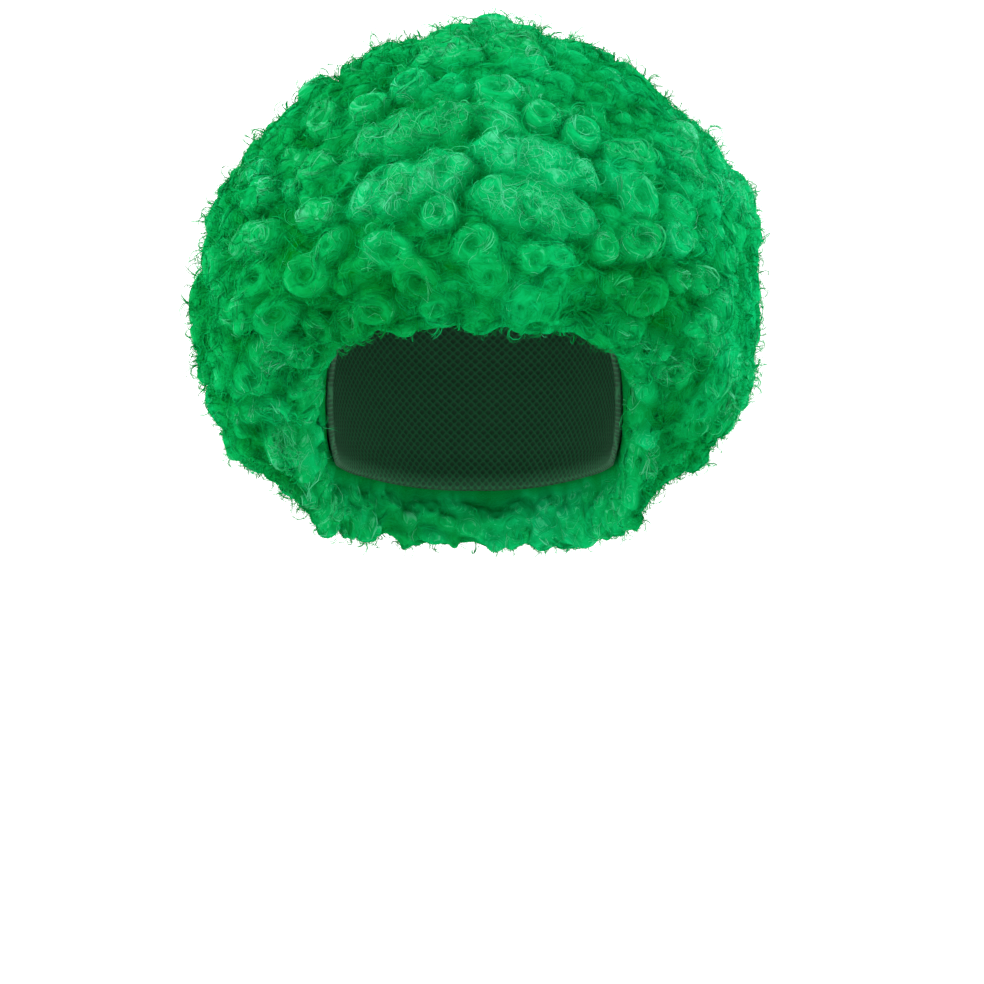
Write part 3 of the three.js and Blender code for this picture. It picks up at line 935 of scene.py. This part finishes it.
STREAKS = 26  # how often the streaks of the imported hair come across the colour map


def curled_fibre(colours):
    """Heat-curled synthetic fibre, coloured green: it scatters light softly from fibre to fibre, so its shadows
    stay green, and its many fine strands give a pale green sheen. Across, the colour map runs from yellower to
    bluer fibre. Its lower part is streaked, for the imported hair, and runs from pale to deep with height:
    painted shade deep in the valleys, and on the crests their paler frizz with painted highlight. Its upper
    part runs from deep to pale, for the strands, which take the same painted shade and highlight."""
    material, tree, shader = new_material("curled_synthetic_fibre")
    place = add_node(tree, "ShaderNodeUVMap", uv_map="OFBake")
    split = add_node(tree, "ShaderNodeSeparateXYZ", {"Vector": place.outputs["UV"]})
    tone, part = split.outputs["X"], split.outputs["Y"]
    # Fibres 0.1 mm thick are too fine for the picture, so the streaks stand for wisps of about 1 mm.
    coarse = {0: place.outputs["UV"], 1: (STREAKS, STREAKS, 0)}
    stretched = add_node(tree, "ShaderNodeVectorMath", coarse, operation="MULTIPLY")
    noise = {"Vector": stretched.outputs["Vector"], "Scale": 1, "Detail": 3, "Distortion": 3}
    streaks = add_node(tree, "ShaderNodeTexNoise", noise)
    spread = {"From Min": 0.25, "From Max": 0.75, "To Min": -0.18, "To Max": 0.18}
    body = add_node(tree, "ShaderNodeMapRange", {"Value": streaks.outputs["Fac"], **spread})
    # Painted shade and highlight: the imported hair's colour runs from pale on the crests to deep in the
    # valleys, by its height.
    painted_light_range = {"Value": part, "From Max": BODY_PART, "To Min": 0.69, "To Max": 0.09}
    slope = add_node(tree, "ShaderNodeMapRange", painted_light_range)
    added = {0: slope.outputs["Result"], 1: body.outputs["Result"]}
    packed = add_node(tree, "ShaderNodeMath", added, operation="ADD")
    strand = add_node(tree, "ShaderNodeMapRange", {"Value": part, "From Min": BODY_PART})
    upper = add_node(tree, "ShaderNodeMath", {0: part, 1: BODY_PART}, operation="GREATER_THAN")
    either = {"Factor": upper.outputs["Value"], "A": packed.outputs["Value"], "B": strand.outputs["Result"]}
    depth = add_node(tree, "ShaderNodeMix", either)
    ramp = add_node(tree, "ShaderNodeValToRGB", {"Fac": depth.outputs["Result"]})
    ramp.color_ramp.elements[0].color = (*colours.deep, 1)
    ramp.color_ramp.elements[0].position = 0.05
    ramp.color_ramp.elements[1].color = (*colours.pale, 1)
    ramp.color_ramp.elements[1].position = 0.95
    ramp.color_ramp.elements.new(0.5).color = (*colours.middle, 1)
    # The tone sets hue and brightness; in the fringe, low on the right and in the rows hidden against the cap
    # it is lowered, as painted shade.
    hue = add_node(tree, "ShaderNodeMapRange", {"Value": tone, "To Min": 0.492, "To Max": 0.513})
    bright = add_node(tree, "ShaderNodeMapRange", {"Value": tone, "To Min": 0.76, "To Max": 1.24})
    tint_and_shade = {"Hue": hue.outputs["Result"], "Value": bright.outputs["Result"], "Color": ramp.outputs["Color"]}
    tinted_and_shaded = add_node(tree, "ShaderNodeHueSaturation", tint_and_shade)
    relief = {"Height": body.outputs["Result"], "Strength": 0.5, "Distance": 0.5 * MM}
    bump = add_node(tree, "ShaderNodeBump", relief)
    tree.links.new(tinted_and_shaded.outputs["Color"], shader.inputs["Base Color"])
    tree.links.new(bump.outputs["Normal"], shader.inputs["Normal"])
    shader.inputs["Roughness"].default_value = 0.4
    shader.inputs["Specular IOR Level"].default_value = 0.0
    shader.inputs["Sheen Weight"].default_value = 0.08
    shader.inputs["Sheen Roughness"].default_value = 0.35
    shader.inputs["Sheen Tint"].default_value = (0.0, 1.0, 0.5, 1)
    return material


HOLE = 4 * MM  # height and width of a hole of the net as drawn
CAP_RADIUS = (CAP["side"] + (CAP["front"] + CAP["back"]) / 2) / 2  # its mean, level with the middle
NET_COLUMNS = round(np.pi * CAP_RADIUS * MM / HOLE)  # whole, so that the net closes round the cap


def stretch_net(colours):
    """Warp-knitted stretch net: matt thread crossed slantwise round small holes, painted darker than the thread
    as painted shade seen through them. The threads are lines of equal azimuth plus or minus height; real holes
    of about 2 mm are drawn at 4 mm."""
    material, tree, shader = new_material("knitted_stretch_net")
    place = add_node(tree, "ShaderNodeTexCoord")
    split = add_node(tree, "ShaderNodeSeparateXYZ", {"Vector": place.outputs["Object"]})
    level = {0: split.outputs["X"], 1: split.outputs["Y"]}
    azimuth = add_node(tree, "ShaderNodeMath", level, operation="ARCTAN2")
    turned = {0: azimuth.outputs["Value"], 1: NET_COLUMNS}
    columns = add_node(tree, "ShaderNodeMath", turned, operation="MULTIPLY")
    rows = add_node(tree, "ShaderNodeMath", {0: split.outputs["Z"], 1: np.pi / HOLE}, operation="MULTIPLY")
    crossed = {0: columns.outputs["Value"], 1: rows.outputs["Value"]}
    threads = []
    for slant in ("ADD", "SUBTRACT"):
        phase = add_node(tree, "ShaderNodeMath", crossed, operation=slant)
        wave = add_node(tree, "ShaderNodeMath", {0: phase.outputs["Value"]}, operation="SINE")
        threads.append(add_node(tree, "ShaderNodeMath", {0: wave.outputs["Value"]}, operation="ABSOLUTE"))
    both = {n: thread.outputs["Value"] for n, thread in enumerate(threads)}
    hole = add_node(tree, "ShaderNodeMath", both, operation="MULTIPLY")
    # Painted shade: the holes are painted darker than the thread, as the shade seen through them.
    ramp = add_node(tree, "ShaderNodeValToRGB", {"Fac": hole.outputs["Value"]})
    ramp.color_ramp.elements[0].color = (*colours.net, 1)
    ramp.color_ramp.elements[0].position = 0.2
    ramp.color_ramp.elements[1].color = (*(0.4 * np.array(colours.net)), 1)
    ramp.color_ramp.elements[1].position = 0.6
    relief = {"Height": hole.outputs["Value"], "Strength": 0.5, "Distance": 0.5 * MM}
    bump = add_node(tree, "ShaderNodeBump", relief, invert=True)
    tree.links.new(ramp.outputs["Color"], shader.inputs["Base Color"])
    tree.links.new(bump.outputs["Normal"], shader.inputs["Normal"])
    shader.inputs["Roughness"].default_value = 0.85
    return material


def studio_paper():
    """Matt white background paper, rolled smooth: it shows only soft shadows."""
    material, tree, shader = new_material("matt_background_paper")
    place = add_node(tree, "ShaderNodeTexCoord")
    grain = add_node(tree, "ShaderNodeTexNoise", {"Vector": place.outputs["Object"], "Scale": 1 / (4 * MM)})
    pale = {"Value": grain.outputs["Fac"], "To Min": 0.9, "To Max": 0.94}
    tint = add_node(tree, "ShaderNodeMapRange", pale)
    tree.links.new(tint.outputs["Result"], shader.inputs["Base Color"])
    shader.inputs["Roughness"].default_value = 0.9
    shader.inputs["Specular IOR Level"].default_value = 0.1
    return material


# Operators


def wear(piece, node):
    """Puts a piece in the place of a solid: it rides on the one body, and the solid is hidden."""
    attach(piece, "root")
    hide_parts(node)


CAP_ROUNDS, CAP_ROWS = 120, 40
HEM_STEP = 0.6  # how sharply the hem sets off, in degrees
SEAM_RIDGE = 0.5  # height of the sewn rows on the inside of the net
# The outside and the inside lie side by side on the colour map, each as a disc about its crown.
MAP_ACROSS, MAP_DOWN = 0.0014, 0.0029  # of the map, for each degree from the crown


class WIG_OT_net_cap(bpy.types.Operator):
    """Builds the net cap: a dome with a folded hem, closed at the edge"""

    bl_idname = "wig.net_cap"
    bl_label = "Net cap"

    def execute(self, context):
        # Both walls are the egg shape of the cap at their own height, on a grid of polar angle by azimuth.
        rounds, rows = CAP_ROUNDS, CAP_ROWS
        azimuth = np.linspace(0, 360, rounds, endpoint=False)
        edge = edge_polar(azimuth) - CAP_EDGE_TUCK
        share = np.linspace(0.004, 1, rows)[:, None]
        polar = share * edge
        hem = smoothstep(polar, edge - HEM_TURN - HEM_STEP, edge - HEM_TURN)
        rows_down = (share * edge / edge_polar(azimuth) - CROWN_SHARE) * WEFT_COUNT / (1 - CROWN_SHARE)
        ridge = SEAM_RIDGE * smoothstep(np.cos(2 * np.pi * rows_down), 0.8, 1.0) * (1 - hem)
        outside = cap_point(azimuth, polar, CAP_WALL + 0 * polar)
        inside = cap_point(azimuth, polar, -ridge - (HEM_WALL - CAP_WALL) * hem)
        crowns = cap_point(np.zeros(2), np.zeros(2), np.array([CAP_WALL, 0.0]))
        points = np.concatenate([outside.reshape(-1, 3), inside[::-1].reshape(-1, 3), crowns])
        faces = grid_faces(2 * rows, rounds, True)
        spot = np.arange(rounds)
        after = (spot + 1) % rounds
        last = (2 * rows - 1) * rounds
        top = np.stack([np.full(rounds, 2 * rows * rounds), spot, after, after], -1)
        below = np.stack([np.full(rounds, 2 * rows * rounds + 1), last + after, last + spot, last + spot], -1)
        faces = np.concatenate([faces, top, below])
        side = np.concatenate([np.zeros(rows), np.ones(rows)])[:, None] * 0.5
        down = np.concatenate([polar, polar[::-1]])
        turn = np.radians(np.broadcast_to(azimuth, down.shape))
        across = 0.25 + side + MAP_ACROSS * down * np.sin(turn)
        uv = np.stack([across, 0.5 + MAP_DOWN * down * np.cos(turn)], -1)
        uv = np.concatenate([uv.reshape(-1, 2), [[0.25, 0.5], [0.75, 0.5]]])
        piece = add_mesh("net_cap", points, faces, uv, stretch_net(context.scene.wig_colours))
        wear(piece, "cap")
        return {"FINISHED"}


class WIG_OT_curled_hair(bpy.types.Operator):
    """Builds the hair of the crown and of each ring: packed hair, wisps, stray fibres, loops and locks"""

    bl_idname = "wig.curled_hair"
    bl_label = "Curled hair"

    def execute(self, context):
        sizes = context.scene.wig_sizes
        rng = np.random.default_rng(sizes.seed)
        rows = scatter_curls(rng, sizes)
        hair = packed_hair(curl_frames(rng, rows), rows[:, 1])
        material = curled_fibre(context.scene.wig_colours)
        strand, stray = sizes.strand / MM, sizes.stray / MM
        names = ["crown_rosette"] + [f"weft_{n}" for n in range(1, WEFT_COUNT + 1)]
        for node, (first, last) in zip(names, ring_rows()):
            collected = Collected()
            add_band(collected, hair, first, last)
            ring = (hair, rng, first, last)
            roots = fibre_roots(*ring, sizes.wisps)
            add_lying_fibres(collected, hair, rng, roots, strand, **LYING_WISPS)
            roots = fibre_roots(*ring, sizes.frizz, FRIZZY_STRAYS)
            add_lying_fibres(collected, hair, rng, roots, stray, **LYING_STRAYS)
            roots = fibre_roots(*ring, sizes.loops, FRIZZY_LOOPS)
            add_standing_fibres(collected, hair, rng, roots, stray, **STANDING_LOOPS)
            roots = fibre_roots(*ring, sizes.locks)
            add_standing_fibres(collected, hair, rng, roots, LOCK_STRAND * strand, **STANDING_LOCKS)
            piece = collected.piece(f"hair_{node}", material)
            wear(piece, node)
        return {"FINISHED"}


class WIG_OT_studio(bpy.types.Operator):
    """Builds the studio: a sweep of white paper, soft lights and the camera"""

    bl_idname = "wig.studio"
    bl_label = "Studio"

    def execute(self, context):
        scene = context.scene
        self.add_paper()
        for light in LIGHTS:
            self.add_light(*light)
        world = bpy.data.worlds.new("studio_air")
        world.use_nodes = True
        background = world.node_tree.nodes["Background"]
        background.inputs["Color"].default_value = (1, 1, 1, 1)
        background.inputs["Strength"].default_value = AIR_LIGHT
        scene.world = world
        scene.view_settings.view_transform = "Standard"
        camera = bpy.data.cameras.new("camera")
        camera.sensor_width = SENSOR
        camera.lens = SENSOR * -CAMERA_AT[1] / (PICTURE * PIXEL)
        camera.clip_end = 20
        holder = bpy.data.objects.new("camera", camera)
        holder.location = CAMERA_AT * MM
        holder.rotation_euler = (np.pi / 2, 0, 0)
        scene.collection.objects.link(holder)
        scene.camera = holder
        return {"FINISHED"}

    def add_paper(self):
        """A sheet of paper whose section runs along the floor, round a quarter circle and up a wall."""
        quarter = np.radians(np.linspace(0, 90, 16))
        run, climb = PAPER_BACK - PAPER_BEND + PAPER_BEND * np.sin(quarter), PAPER_BEND * np.cos(quarter)
        y = np.concatenate([[-PAPER_SPAN], run, [PAPER_BACK]])
        z = np.concatenate([[0.0], PAPER_BEND - climb, [PAPER_SPAN]]) + FLOOR
        x = np.linspace(-PAPER_SPAN, PAPER_SPAN, 3)
        points = np.stack(np.broadcast_arrays(x[None], y[:, None], z[:, None]), -1).reshape(-1, 3)
        faces = grid_faces(len(y), len(x), False)[:, ::-1]
        uv = points[:, :2] / (2 * PAPER_SPAN) + 0.5
        paper = add_mesh("studio_paper", points, faces, uv, studio_paper())

    def add_light(self, name, place, size, power, target):
        """A square soft light that faces its target."""
        light = bpy.data.lights.new(name, "AREA")
        light.size = size * MM
        light.energy = power
        holder = bpy.data.objects.new(name, light)
        holder.location = np.array(place) * MM
        aim = np.array(target) - np.array(place)
        tilt, turn = np.arctan2(np.hypot(aim[0], aim[1]), -aim[2]), np.arctan2(aim[1], aim[0])
        holder.rotation_euler = (tilt, 0, turn - np.pi / 2)
        bpy.context.scene.collection.objects.link(holder)


class WIG_PT_panel(bpy.types.Panel):
    """Sizes, colours and steps of the wig"""

    bl_label = "Curly wig"
    bl_idname = "WIG_PT_panel"
    bl_space_type = "VIEW_3D"
    bl_region_type = "UI"
    bl_category = "Wig"

    def draw(self, context):
        for group in (context.scene.wig_sizes, context.scene.wig_colours):
            for name in group.bl_rna.properties.keys():
                if name not in ("rna_type", "name"):
                    self.layout.prop(group, name)
        for operator in OPERATORS:
            self.layout.operator(operator.bl_idname)


OPERATORS = (WIG_OT_net_cap, WIG_OT_curled_hair, WIG_OT_studio)
CLASSES = (WigSizes, WigColours, *OPERATORS, WIG_PT_panel)


def register():
    for cls in CLASSES:
        bpy.utils.register_class(cls)
    bpy.types.Scene.wig_sizes = bpy.props.PointerProperty(type=WigSizes)
    bpy.types.Scene.wig_colours = bpy.props.PointerProperty(type=WigColours)


def unregister():
    del bpy.types.Scene.wig_colours
    del bpy.types.Scene.wig_sizes
    for cls in reversed(CLASSES):
        bpy.utils.unregister_class(cls)


def main():
    register()
    bpy.ops.wig.net_cap()
    bpy.ops.wig.curled_hair()
    bpy.ops.wig.studio()


if __name__ == "__main__":
    main()
